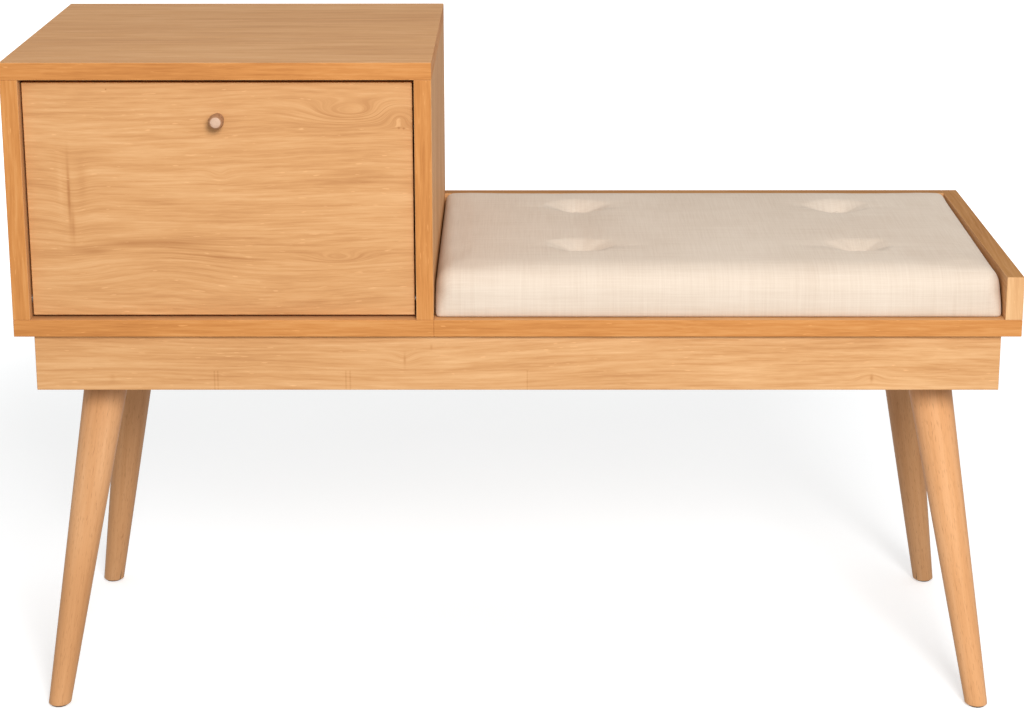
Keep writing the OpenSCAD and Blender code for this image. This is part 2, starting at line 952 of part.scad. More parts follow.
cabinet_top();
cabinet_left_side();
cabinet_right_side();
cabinet_base();
cabinet_back();
seat_board();
back_rim();
end_rim();
long_apron(apron_y0);  // front_apron
long_apron(apron_y1 - panel_t);  // back_apron
end_apron(apron_x0);  // left_apron
end_apron(apron_x1 - panel_t);  // right_apron
cross_rail();
corner_block(corners[0]);  // corner_block_front_left
corner_block(corners[1]);  // corner_block_front_right
corner_block(corners[2]);  // corner_block_back_left
corner_block(corners[3]);  // corner_block_back_right
leg(corners[0]);  // leg_front_left
leg(corners[1]);  // leg_front_right
leg(corners[2]);  // leg_back_left
leg(corners[3]);  // leg_back_right
leg_plate(corners[0]);  // leg_plate_front_left
leg_plate(corners[1]);  // leg_plate_front_right
leg_plate(corners[2]);  // leg_plate_back_left
leg_plate(corners[3]);  // leg_plate_back_right
leg_bolts();
floor_glides();
plate_screws();
block_screws();
rail_screws();
cabinet_dowels();
apron_dowels();
rim_dowels();
cam_locks();
cam_bolts();
pivot_bushes();
stay_stud();
catch_body();
catch_magnet();
catch_screws();
door_panel();
pivot_pins();
knob();
knob_screw();
stay_bracket();
bracket_screws();
stay_rivet();
strike_plate();
strike_screws();
stay_arm();
cushion_cover();
cushion_bottom_cloth();
cushion_foam();
cushion_buttons();
cushion_low_buttons();
tuft_cords();
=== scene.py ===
import json
import math

import bmesh
import bpy
from mathutils import Matrix, Vector, noise


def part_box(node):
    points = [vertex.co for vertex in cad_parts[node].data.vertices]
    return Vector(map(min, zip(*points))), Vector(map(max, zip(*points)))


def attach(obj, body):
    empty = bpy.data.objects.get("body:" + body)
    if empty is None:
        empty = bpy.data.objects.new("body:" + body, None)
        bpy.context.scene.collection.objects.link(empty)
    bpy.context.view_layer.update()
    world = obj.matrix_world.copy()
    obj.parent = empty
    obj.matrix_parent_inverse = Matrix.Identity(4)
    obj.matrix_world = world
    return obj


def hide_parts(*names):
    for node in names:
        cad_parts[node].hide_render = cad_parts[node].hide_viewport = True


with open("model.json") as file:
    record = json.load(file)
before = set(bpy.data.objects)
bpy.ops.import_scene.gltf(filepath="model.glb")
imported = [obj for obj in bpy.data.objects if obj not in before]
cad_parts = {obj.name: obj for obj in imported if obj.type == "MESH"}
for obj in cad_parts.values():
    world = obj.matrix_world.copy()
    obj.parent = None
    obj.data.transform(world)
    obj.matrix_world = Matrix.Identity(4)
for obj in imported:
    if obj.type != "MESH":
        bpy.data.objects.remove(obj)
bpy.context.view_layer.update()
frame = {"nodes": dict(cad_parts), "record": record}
MM = 0.001

# ---------------------------------------------------------------- camera and light

CAMERA_PLACE = (0.0048, -2.5490, 1.1312)
CAMERA_DOWN = 15.03                       # degrees below the horizon
CAMERA_TURN = 0.25                        # degrees to the left
CAMERA_ROLL = -0.075
CAMERA_LENS = 82.88
CAMERA_SHIFT = -0.0879                    # keeps the bench's uprights nearly parallel

LIGHT_TARGET = (0.05, 0, 0.4)
LIGHTS = (
    # name, place, size, power, colour
    ("key_light", (0.60, -3.1, 2.05), 1.2, 100, (1, 0.98, 0.955)),
    ("top_light", (0.1, 0.2, 3.4), 2.0, 7, (1, 0.98, 0.95)),
)
SKY_COLOUR = (1, 0.98, 0.95, 1)
SKY_STRENGTH = 0.54


def make_camera():
    data = bpy.data.cameras.new("camera")
    data.lens = CAMERA_LENS
    data.sensor_width = 36
    data.shift_y = CAMERA_SHIFT
    data.clip_start = 0.05
    data.clip_end = 60
    camera = bpy.data.objects.new("camera", data)
    bpy.context.collection.objects.link(camera)
    turn = Matrix.Rotation(math.radians(CAMERA_TURN), 4, "Z")
    tilt = Matrix.Rotation(math.radians(90 - CAMERA_DOWN), 4, "X")
    roll = Matrix.Rotation(math.radians(CAMERA_ROLL), 4, "Z")
    camera.matrix_world = Matrix.Translation(CAMERA_PLACE) @ turn @ tilt @ roll
    bpy.context.scene.camera = camera


def area_light(name, place, size, power, colour):
    data = bpy.data.lights.new(name, "AREA")
    data.shape = "DISK"
    data.size = size
    data.energy = power
    data.color = colour
    light = bpy.data.objects.new(name, data)
    bpy.context.collection.objects.link(light)
    light.location = place
    light.rotation_euler = (Vector(LIGHT_TARGET) - Vector(place)).to_track_quat("-Z", "Y").to_euler()


def make_lights():
    for light in LIGHTS:
        area_light(*light)
    world = bpy.data.worlds.new("studio")
    bpy.context.scene.world = world
    world.use_nodes = True
    background = world.node_tree.nodes["Background"]
    background.inputs["Color"].default_value = SKY_COLOUR
    background.inputs["Strength"].default_value = SKY_STRENGTH
    bpy.context.scene.view_settings.view_transform = "Standard"


# ---------------------------------------------------------------- material nodes


class Graph:
    """Builds one material's nodes; colours and heights come from object coordinates in metres."""

    def __init__(self, name, **sockets):
        self.material = bpy.data.materials.new(name)
        self.material.use_nodes = True
        self.tree = self.material.node_tree
        self.shader = self.tree.nodes["Principled BSDF"]
        for socket, value in sockets.items():
            self.set(socket.replace("_", " ").capitalize(), value)
        self.coords = self.node("ShaderNodeTexCoord").outputs["Object"]

    def set(self, socket, value):
        names = {i.name.lower(): i for i in self.shader.inputs}
        target = names[socket.lower()]
        if isinstance(value, bpy.types.NodeSocket):
            self.tree.links.new(value, target)
        else:
            target.default_value = value

    def node(self, kind, **properties):
        made = self.tree.nodes.new(kind)
        for key, value in properties.items():
            setattr(made, key, value)
        return made

    def feed(self, socket, value):
        if isinstance(value, bpy.types.NodeSocket):
            self.tree.links.new(value, socket)
        else:
            socket.default_value = value

    def math(self, operation, *values, clamp=False):
        made = self.node("ShaderNodeMath", operation=operation, use_clamp=clamp)
        for socket, value in zip(made.inputs, values):
            self.feed(socket, value)
        return made.outputs[0]

    def total(self, *values):
        result = values[0]
        for value in values[1:]:
            result = self.math("ADD", result, value)
        return result

    def scaled(self, value, factor):
        return self.math("MULTIPLY", value, factor)

    def axes(self, order):
        """The object coordinates named in order, such as "XZY", as three values."""
        split = self.node("ShaderNodeSeparateXYZ")
        self.feed(split.inputs[0], self.coords)
        return [split.outputs[letter] for letter in order]

    def along(self, direction):
        """How far the object coordinates reach in a direction."""
        made = self.node("ShaderNodeVectorMath", operation="DOT_PRODUCT")
        self.feed(made.inputs[0], self.coords)
        made.inputs[1].default_value = direction
        return made.outputs["Value"]

    def vector(self, *values):
        made = self.node("ShaderNodeCombineXYZ")
        for socket, value in zip(made.inputs, values):
            self.feed(socket, value)
        return made.outputs[0]

    def noise(self, vector, scale=1.0, detail=2.0, roughness=0.5, distortion=0.0):
        made = self.node("ShaderNodeTexNoise")
        self.feed(made.inputs["Vector"], vector)
        made.inputs["Scale"].default_value = scale
        made.inputs["Detail"].default_value = detail
        made.inputs["Roughness"].default_value = roughness
        made.inputs["Distortion"].default_value = distortion
        return made.outputs[0]

    def stretched(self, u, v, w, along, across, **settings):
        """Noise that is stretched along u: both numbers are cells per metre."""
        vector = self.vector(self.scaled(u, along), self.scaled(v, across), self.scaled(w, across))
        return self.noise(vector, **settings)

    def span(self, value, low, high, to_low=0.0, to_high=1.0):
        made = self.node("ShaderNodeMapRange", interpolation_type="SMOOTHSTEP")
        for socket, number in zip(made.inputs, (value, low, high, to_low, to_high)):
            self.feed(socket, number)
        return made.outputs[0]

    def ramp(self, value, *stops):
        made = self.node("ShaderNodeValToRGB")
        self.feed(made.inputs[0], value)
        elements = made.color_ramp.elements
        while len(elements) < len(stops):
            elements.new(0.5)
        for element, (place, colour) in zip(elements, stops):
            element.position = place
            element.color = (*colour, 1)
        return made.outputs[0]

    def mix(self, factor, first, second, mode="MIX"):
        made = self.node("ShaderNodeMix", data_type="RGBA", blend_type=mode)
        self.feed(made.inputs[0], factor)
        for socket, value in zip(made.inputs[6:8], (first, second)):
            self.feed(socket, value if isinstance(value, bpy.types.NodeSocket) else (*value, 1))
        return made.outputs[2]

    def bump(self, height, strength, depth):
        made = self.node("ShaderNodeBump")
        made.inputs["Strength"].default_value = strength
        made.inputs["Distance"].default_value = depth
        self.feed(made.inputs["Height"], height)
        self.set("Normal", made.outputs[0])

    def hill(self, u, v, place, reach):
        """A smooth bump of height 1 at place, fading over reach, both (u, v) in metres."""
        parts = []
        for value, middle, width in zip((u, v), place, reach):
            offset = self.math("DIVIDE", self.math("SUBTRACT", value, middle), width)
            parts.append(self.math("MULTIPLY", offset, offset))
        return self.math("EXPONENT", self.scaled(self.total(*parts), -1.0))


# ---------------------------------------------------------------- wood

FACE = ((0.45, 0.205, 0.076), (0.62, 0.325, 0.136), (0.76, 0.455, 0.225))
EDGE = ((0.40, 0.145, 0.034), (0.58, 0.245, 0.070), (0.72, 0.365, 0.135))
# the edge band lightened as painted light, for the rims' ends
LIT_RIM_END = ((0.56, 0.275, 0.110), (0.70, 0.405, 0.190), (0.82, 0.540, 0.290))
# the edge band darkened as painted shade, for the rims' tops and undersides
SHADED_RIM_TOP = ((0.31, 0.122, 0.026), (0.42, 0.188, 0.052), (0.52, 0.258, 0.084))


def bent_grain(g, u, v, w, ripple, swirls):
    """The height across the grain, bent by slow wandering, by ripples and round the swirls."""
    wander = g.stretched(u, v, w, 1.7, 6, detail=1.0)
    bend = g.total(v, g.scaled(wander, 0.045), g.scaled(ripple, 0.0035))
    for place, reach, lift in swirls:
        bend = g.total(bend, g.scaled(g.hill(u, v, place, reach), lift))
    return bend


def growth_line(g, u, v, bend, ripple, place, reach, spacing, depth):
    """How much growth lines darken a place: they follow the bent grain."""
    wave = g.math("SINE", g.total(g.scaled(bend, 2 * math.pi / spacing), g.scaled(ripple, 6)))
    hill = g.scaled(g.hill(u, v, place, reach), depth)
    return g.math("MULTIPLY", g.span(wave, 0.1, 1.0), hill)


def ragged_mark(g, u, v, streaks, fibres, place, reach, depth):
    """How much a mark darkens a place, ragged along the grain."""
    ragged = g.span(g.total(streaks, g.scaled(fibres, 0.5)), 0.5, 0.9, 0.5, 1.0)
    return g.scaled(g.math("MULTIPLY", g.hill(u, v, place, reach), ragged), depth)


def stave_row(g, u, v, height, end, joints):
    """A narrower row of staves below height and up to end: its paler area, and its staves' outlines."""
    below = g.span(v, height - 0.0004, height + 0.0004, 1, 0)
    row = g.math("MULTIPLY", below, g.span(u, end - 0.0005, end + 0.0005, 1, 0))
    gap = g.math("MULTIPLY", g.math("COMPARE", v, height, 0.0005), g.span(u, end - 0.001, end, 1, 0))
    for joint in joints:
        gap = g.math("MAXIMUM", gap, g.math("MULTIPLY", g.math("COMPARE", u, joint, 0.0008), row))
    return row, gap


def oak(name, order, colours, contrast=1.0, swirls=(), lines=(), marks=(), staves=None):
    """Printed oak decor. order names the grain axis, the axis across the grain, and the third axis.

    swirls: (place, reach, lift) bends the grain round a place.
    lines: (place, reach, spacing, depth) draws growth lines there, which follow the bent grain.
    marks: (place, reach, depth) darkens a place, or lightens it where depth is below 0.
    staves: (height, end, joints) draws a narrower row of staves below height, up to end.
    Places and reaches are (along the grain, across it), in metres."""
    g = Graph(name)
    g.set("Specular IOR Level", 0.16)
    u, v, w = g.axes(order)
    ripple = g.stretched(u, v, w, 9, 30, detail=1.0)
    bend = bent_grain(g, u, v, w, ripple, swirls)
    patches = g.stretched(u, v, w, 3.5, 15, detail=2.0)
    broad = g.stretched(u, bend, w, 4.5, 75, detail=2.0)
    streaks = g.stretched(u, bend, w, 15, 340, detail=3.0, roughness=0.6)
    fibres = g.stretched(u, bend, w, 60, 1400, detail=2.0)
    tone = g.total(
        g.scaled(patches, 0.55 * contrast), g.scaled(broad, 0.45 * contrast),
        g.scaled(streaks, 0.75 * contrast), g.scaled(fibres, 0.3 * contrast), 0.5 - 1.025 * contrast,
    )
    for line in lines:
        tone = g.math("SUBTRACT", tone, growth_line(g, u, v, bend, ripple, *line))
    for mark in marks:
        tone = g.math("SUBTRACT", tone, ragged_mark(g, u, v, streaks, fibres, *mark))
    if staves:
        row, gap = stave_row(g, u, v, *staves)
        tone = g.math("SUBTRACT", g.total(tone, g.scaled(row, 0.05)), g.scaled(gap, 0.14))
    dark, mid, light = colours
    colour = g.ramp(tone, (0.15, dark), (0.5, mid), (0.85, light))
    flecks = g.span(g.stretched(u, bend, w, 70, 520, detail=1.0), 0.70, 0.78, 0.0, 0.35)
    colour = g.mix(flecks, colour, tuple(min(1, 1.25 * c) for c in light))
    g.set("Base Color", colour)
    g.set("Roughness", g.span(streaks, 0.3, 0.7, 0.60, 0.50))
    g.bump(g.total(fibres, g.scaled(streaks, 0.5)), 0.2, 0.0001)
    return g.material


def beech(name, axis, dark, mid, light):
    """Turned beech with its grain along an axis, and short dark flecks."""
    g = Graph(name)
    g.set("Specular IOR Level", 0.25)
    side = axis.orthogonal().normalized()
    u, v, w = (g.along(d) for d in (axis, side, axis.cross(side)))
    wander = g.scaled(g.stretched(u, v, w, 3, 20, detail=1.0), 0.02)
    across = g.total(v, wander)
    rings = g.stretched(u, across, w, 1.2, 130, detail=2.0)
    fibres = g.stretched(u, across, w, 18, 900, detail=3.0, roughness=0.6)
    flecks = g.span(g.stretched(u, v, w, 110, 1400, detail=0.0), 0.66, 0.76, 0.0, 0.5)
    patches = g.stretched(u, v, w, 5, 14, detail=1.0)
    tone = g.total(g.scaled(rings, 0.5), g.scaled(fibres, 0.3), g.scaled(patches, 0.6), -0.2)
    colour = g.ramp(tone, (0.2, dark), (0.5, mid), (0.8, light))
    colour = g.mix(flecks, colour, tuple(0.8 * c for c in dark))
    g.set("Base Color", colour)
    g.set("Roughness", g.span(fibres, 0.2, 0.8, 0.48, 0.36))
    g.bump(g.math("SUBTRACT", fibres, flecks), 0.2, 0.0001)
    return g.material


def plain_wood():
    """Unfinished softwood of the hidden pieces."""
    g = Graph("plain_wood", Roughness=0.7)
    u, v, w = g.axes("XYZ")
    rings = g.stretched(u, v, w, 2, 220, detail=2.0, distortion=0.4)
    fibres = g.stretched(u, v, w, 30, 1200, detail=2.0)
    tone = g.total(g.scaled(rings, 0.7), g.scaled(fibres, 0.3))
    g.set("Base Color", g.ramp(tone, (0.3, (0.42, 0.26, 0.12)), (0.7, (0.62, 0.43, 0.23))))
    g.bump(fibres, 0.3, 0.0002)
    return g.material


def hardboard():
    """Thin brown back with a pressed surface."""
    g = Graph("hardboard", Roughness=0.65)
    specks = g.noise(g.coords, scale=420, detail=4.0, roughness=0.7)
    clouds = g.noise(g.coords, scale=14, detail=2.0)
    tone = g.total(g.scaled(specks, 0.6), g.scaled(clouds, 0.4))
    g.set("Base Color", g.ramp(tone, (0.3, (0.30, 0.165, 0.075)), (0.7, (0.47, 0.29, 0.15))))
    g.bump(specks, 0.3, 0.0002)
    return g.material


# ---------------------------------------------------------------- other materials


def metal(name, colour, roughness, streak_axis="Z"):
    """Zinc-plated steel with fine brushing and faint clouds."""
    g = Graph(name, Metallic=1.0)
    others = [a for a in "XYZ" if a != streak_axis]
    u, v, w = g.axes(streak_axis + "".join(others))
    brushing = g.stretched(u, v, w, 60, 4000, detail=2.0)
    clouds = g.noise(g.coords, scale=70, detail=3.0)
    tone = g.total(g.scaled(brushing, 0.5), g.scaled(clouds, 0.5))
    dim = tuple(0.78 * c for c in colour)
    g.set("Base Color", g.ramp(tone, (0.3, dim), (0.7, colour)))
    g.set("Roughness", g.span(tone, 0.3, 0.7, roughness + 0.1, roughness - 0.06))
    g.bump(brushing, 0.15, 0.00005)
    return g.material


def moulded(name, dark, light, roughness):
    """Moulded plastic or ferrite with a fine grain."""
    g = Graph(name)
    grain = g.noise(g.coords, scale=2600, detail=2.0)
    clouds = g.noise(g.coords, scale=60, detail=2.0)
    tone = g.total(g.scaled(grain, 0.4), g.scaled(clouds, 0.6))
    g.set("Base Color", g.ramp(tone, (0.3, dark), (0.7, light)))
    g.set("Roughness", g.span(grain, 0.3, 0.7, roughness - 0.05, roughness + 0.08))
    g.bump(grain, 0.2, 0.00004)
    return g.material


def linen(name, dark, mid, light, thread=0.0009):
    """Plain-woven linen: two sets of threads with slubs, and a soft fuzz."""
    g = Graph(name, Roughness=0.92)
    g.set("Sheen Weight", 0.05)
    g.set("Sheen Roughness", 0.5)
    g.set("Specular IOR Level", 0.1)
    x, y, z = g.axes("XYZ")
    waves = []
    for value in (x, y, z):
        waves.append(g.math("SINE", g.scaled(value, 2 * math.pi / thread)))
    weave = g.total(
        g.math("MULTIPLY", waves[0], waves[1]),
        g.math("MULTIPLY", waves[1], waves[2]),
        g.math("MULTIPLY", waves[2], waves[0]),
    )
    weft = g.stretched(x, y, z, 14, 640, detail=3.0, roughness=0.65)
    warp = g.noise(g.vector(g.scaled(x, 640), g.scaled(y, 14), g.scaled(z, 14)), detail=3.0, roughness=0.65)
    clouds = g.noise(g.coords, scale=9, detail=2.0)
    threads = g.total(g.scaled(weft, 0.5), g.scaled(warp, 0.5))
    tone = g.total(g.scaled(threads, 0.75), g.scaled(clouds, 0.35), g.scaled(weave, 0.02), -0.05)
    g.set("Base Color", g.ramp(tone, (0.25, dark), (0.5, mid), (0.75, light)))
    g.bump(g.total(threads, g.scaled(weave, 0.25)), 0.25, 0.0003)
    return g.material


def foam():
    """Yellowish open-cell foam."""
    g = Graph("foam", Roughness=0.95)
    cells = g.noise(g.coords, scale=900, detail=3.0)
    g.set("Base Color", g.ramp(cells, (0.3, (0.62, 0.55, 0.34)), (0.7, (0.82, 0.77, 0.55))))
    g.bump(cells, 0.5, 0.0006)
    return g.material


# ---------------------------------------------------------------- mesh helpers


def new_piece(name, bm, body, materials):
    """Makes a smooth-shaded object of a bmesh, with its materials, riding on a CAD body."""
    mesh = bpy.data.meshes.new(name)
    bm.to_mesh(mesh)
    bm.free()
    for material in materials:
        mesh.materials.append(material)
    mesh.shade_smooth()
    piece = bpy.data.objects.new(name, mesh)
    bpy.context.collection.objects.link(piece)
    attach(piece, body)
    return piece


def bake_modifiers(piece):
    """Replaces the piece's mesh by its evaluated one."""
    graph = bpy.context.evaluated_depsgraph_get()
    mesh = bpy.data.meshes.new_from_object(piece.evaluated_get(graph))
    piece.modifiers.clear()
    piece.data = mesh


def lathe(bm, profile, segments=64, place=Matrix()):
    """Turns (radius, height) points about Z and moves them to place; a radius of 0 closes the end."""
    rings = []
    for radius, height in profile:
        angles = [2 * math.pi * i / segments for i in range(segments)] if radius > 1e-7 else [0]
        points = [Vector((radius * math.cos(a), radius * math.sin(a), height)) for a in angles]
        rings.append([bm.verts.new(place @ point) for point in points])
    for low, high in zip(rings, rings[1:]):
        for i in range(segments):
            j = (i + 1) % segments
            corners = [low[i % len(low)], low[j % len(low)], high[j % len(high)], high[i % len(high)]]
            bm.faces.new(list(dict.fromkeys(corners)))
    bmesh.ops.recalc_face_normals(bm, faces=bm.faces)


def smooth_profile(points, steps=6):
    """A Catmull-Rom curve through (radius, height) points."""
    knots = [points[0], *points, points[-1]]
    curve = []
    for a, b, c, d in zip(knots, knots[1:], knots[2:], knots[3:]):
        for i in range(steps):
            t = i / steps
            curve.append(tuple(
                0.5 * (2 * b[k] + (c[k] - a[k]) * t + (2 * a[k] - 5 * b[k] + 4 * c[k] - d[k]) * t ** 2
                       + (3 * b[k] - a[k] - 3 * c[k] + d[k]) * t ** 3)
                for k in range(2)
            ))
    curve.append(points[-1])
    return curve


# ---------------------------------------------------------------- boards

BEVEL = 0.8 * MM
POCKET_PLAY = 0.15 * MM                   # room round a cam lock or a bush in its pocket
POCKET_OVER = 0.1 * MM                    # and how much longer the pocket is at each end

BOARDS = (
    # node, body, grain axis, axis across the grain, thickness axis
    ("cabinet_top", "carcass", "X", "Y", "Z"),
    ("cabinet_left_side", "carcass", "Z", "Y", "X"),
    ("cabinet_right_side", "carcass", "Z", "Y", "X"),
    ("cabinet_base", "carcass", "X", "Y", "Z"),
    ("seat_board", "carcass", "X", "Y", "Z"),
    ("back_rim", "carcass", "X", "Z", "Y"),
    ("end_rim", "carcass", "Y", "Z", "X"),
    ("front_apron", "carcass", "X", "Z", "Y"),
    ("back_apron", "carcass", "X", "Z", "Y"),
    ("left_apron", "carcass", "Y", "Z", "X"),
    ("right_apron", "carcass", "Y", "Z", "X"),
    ("door_panel", "door", "X", "Z", "Y"),
)


def board_bmesh(low, high, bevel):
    bm = bmesh.new()
    bmesh.ops.create_cube(bm, size=1)
    size = high - low
    middle = (high + low) / 2
    for v in bm.verts:
        v.co = Vector([middle[k] + v.co[k] * size[k] for k in range(3)])
    bmesh.ops.bevel(bm, geom=list(bm.edges), offset=bevel, segments=3, profile=0.6, affect="EDGES")
    return bm


def make_board(node, body, grain, across, thick, face, edges):
    """A veneered board: decor on its two faces, and bands whose grain runs along its four edges."""
    low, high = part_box(node)
    bm = board_bmesh(low, high, BEVEL)
    for f in bm.faces:
        sizes = [abs(c) for c in f.normal]
        normal = "XYZ"[sizes.index(max(sizes))]
        f.material_index = 0 if normal == thick else 1 + "XYZ".index(
            next(a for a in "XYZ" if a not in (normal, thick)))
    piece = new_piece(node + "_board", bm, body, [face, *edges])
    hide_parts(node)
    return piece


def even_shading(piece):
    """Keeps flat faces flat between their rounded edges, and drilled edges crisp."""
    piece.data.set_sharp_from_angle(angle=math.radians(40))
    normals = piece.modifiers.new("normals", "WEIGHTED_NORMAL")
    normals.keep_sharp = True


def drill(piece, holes):
    """Cuts round holes along X: (centre, radius, depth to each side of the centre)."""
    bm = bmesh.new()
    for centre, radius, depth in holes:
        place = Matrix.Translation(centre) @ Matrix.Rotation(math.pi / 2, 4, "Y")
        bmesh.ops.create_cone(
            bm, cap_ends=True, segments=48, radius1=radius, radius2=radius, depth=2 * depth, matrix=place)
    mesh = bpy.data.meshes.new("drill")
    bm.to_mesh(mesh)
    bm.free()
    cutter = bpy.data.objects.new("drill", mesh)
    bpy.context.collection.objects.link(cutter)
    cut = piece.modifiers.new("drill", "BOOLEAN")
    cut.object = cutter
    cut.solver = "EXACT"
    bpy.context.view_layer.update()
    bake_modifiers(piece)
    bpy.data.objects.remove(cutter)


# The door's figure: a knotty swirl at its upper right, small arches at its lower right, a dark wave
# from its lower left, and an upright flake mark at its left. Places are (x, z) in metres.
DOOR_FIGURE = {
    "swirls": (
        ((-0.172, 0.662), (0.045, 0.012), 0.020), ((-0.122, 0.660), (0.016, 0.010), -0.016),
        ((-0.185, 0.509), (0.030, 0.006), 0.009), ((-0.37, 0.500), (0.085, 0.030), -0.016),
        ((-0.305, 0.596), (0.012, 0.007), 0.005), ((-0.458, 0.575), (0.016, 0.05), 0.006),
    ),
    "lines": (
        ((-0.165, 0.660), (0.062, 0.017), 0.0055, 0.20), ((-0.185, 0.509), (0.045, 0.009), 0.0045, 0.17),
        ((-0.300, 0.517), (0.110, 0.012), 0.0075, 0.16),
    ),
    "marks": (
        ((-0.462, 0.577), (0.0016, 0.034), 0.42), ((-0.459, 0.545), (0.0018, 0.018), 0.26),
        ((-0.448, 0.590), (0.0050, 0.022), 0.15), ((-0.470, 0.585), (0.0030, 0.026), -0.12),
        ((-0.490, 0.512), (0.022, 0.003), 0.18), ((-0.440, 0.517), (0.022, 0.004), 0.32),
        ((-0.402, 0.525), (0.028, 0.004), 0.34), ((-0.355, 0.525), (0.030, 0.004), 0.29),
        ((-0.312, 0.519), (0.026, 0.003), 0.16), ((-0.286, 0.586), (0.024, 0.001), 0.16),
        ((-0.121, 0.6468), (0.0009, 0.0009), 0.85), ((-0.116, 0.6462), (0.0008, 0.0008), 0.85),
        ((-0.419, 0.687), (0.0007, 0.0007), 0.60),
    ),
}
# The front apron's figure: two small knots, paler stretches, painted light over its right half, and stave
# joints at its lower left.
APRON_FIGURE = {
    "swirls": (((-0.118, 0.401), (0.012, 0.008), 0.006), ((0.370, 0.382), (0.014, 0.007), -0.006)),
    "marks": (
        ((-0.118, 0.400), (0.0012, 0.006), 0.28), ((0.3715, 0.3800), (0.0016, 0.0035), 0.42),
        ((-0.075, 0.403), (0.025, 0.010), -0.12), ((-0.090, 0.414), (0.0012, 0.003), 0.22),
        # the second mark on this line, broad over the right half, is painted light
        ((0.24, 0.385), (0.04, 0.006), -0.10), ((0.42, 0.397), (0.42, 0.2), -0.13),
        ((-0.425, 0.380), (0.003, 0.004), 0.14),
    ),
    "staves": (0.3888, 0.0125, (-0.3180, -0.3145, -0.1800, -0.1755, 0.0105)),
}
FIGURES = {"door_panel": DOOR_FIGURE, "front_apron": APRON_FIGURE}


def edge_bands(name, colours):
    """The material of edges that run along X, Y and Z."""
    return [
        oak(f"{name}_{axis}", axis + "XYZ".replace(axis, ""), colours, contrast=0.9)
        for axis in "XYZ"
    ]


def make_boards():
    edges = edge_bands("edge_band", EDGE)
    # the rims' tops and undersides: the edge band with painted shade
    rim_tops = edge_bands("rim_top", SHADED_RIM_TOP)
    # the rims' ends: the edge band with painted light
    lit_rim_end = oak("lit_rim_end", "ZXY", LIT_RIM_END, contrast=0.9)
    pieces = {}
    for node, body, grain, across, thick in BOARDS:
        figure = FIGURES.get(node, {})
        face = oak("oak_" + node, grain + across + thick, FACE, contrast=0.9 if figure else 0.75, **figure)
        bands = [rim_tops[0], rim_tops[1], lit_rim_end] if node in ("end_rim", "back_rim") else edges
        pieces[node] = make_board(node, body, grain, across, thick, face, bands)
    return pieces


def islands(node):
    """The boxes of a CAD node's separate solids, sorted by their low corners."""
    bm = bmesh.new()
    bm.from_mesh(frame["nodes"][node].data)
    bmesh.ops.remove_doubles(bm, verts=bm.verts, dist=1e-6)
    left = set(bm.verts)
    boxes = []
    while left:
        group = [left.pop()]
        for v in group:
            for e in v.link_edges:
                other = e.other_vert(v)
                if other in left:
                    left.remove(other)
                    group.append(other)
        points = [v.co for v in group]
        boxes.append((
            Vector([min(p[k] for p in points) for k in range(3)]),
            Vector([max(p[k] for p in points) for k in range(3)]),
        ))
    bm.free()
    return sorted(boxes, key=lambda box: tuple(box[0]))


def pocket_sides(pieces):
    """Round pockets in the cabinet's sides, which show the cam locks and the pivot bushes."""
    for node in ("cabinet_left_side", "cabinet_right_side"):
        low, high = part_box(node)
        holes = []
        for hardware in ("cam_locks", "pivot_bushes"):
            for a, b in islands(hardware):
                middle = (a + b) / 2
                if low.x < middle.x < high.x:
                    holes.append((middle, (b.z - a.z) / 2 + POCKET_PLAY, (b.x - a.x) / 2 + POCKET_OVER))
        drill(pieces[node], holes)


# ---------------------------------------------------------------- legs and knob

FOOT_R = 12 * MM
TOP_R = 25 * MM
LEG_TOP = 412 * MM                        # height of the middle of a leg's upper end
GLIDE_H = 2 * MM
LEG_RINGS = 24
LEG_BELOW = 12 * MM                       # length turned past the floor, then sawn off level
FOOT_BEVEL = 1.2 * MM
LEGS = (
    # leg, its plate, and a factor on its wood's colour that paints light on the front legs and shade on the
    # back legs
    ("leg_front_left", "leg_plate_front_left", 1.08),
    ("leg_front_right", "leg_plate_front_right", 1.22),
    ("leg_back_left", "leg_plate_back_left", 0.96),
    ("leg_back_right", "leg_plate_back_right", 0.94),
)
LEG_COLOURS = ((0.47, 0.220, 0.086), (0.60, 0.305, 0.134), (0.70, 0.390, 0.195))
# the knob's profile from the door outwards, as (radius, height) in millimetres
KNOB_BODY = (
    (6.3, 0), (6.5, 0.8), (6.2, 1.8), (5.2, 3.6), (4.9, 5.4), (5.3, 7.4), (7.2, 10), (7.95, 12.2),
    (7.95, 14.2), (7.4, 16.6), (6.5, 18.4), (5.9, 19.1), (5.45, 19.25),
)
KNOB_FRONT = ((5.35, 19.3), (5.2, 19.75), (4.7, 20), (2.4, 20), (0, 20))
KNOB_FRONT_FROM = 19.27 * MM


def middle_of(low, high):
    return (Vector(low) + Vector(high)) / 2


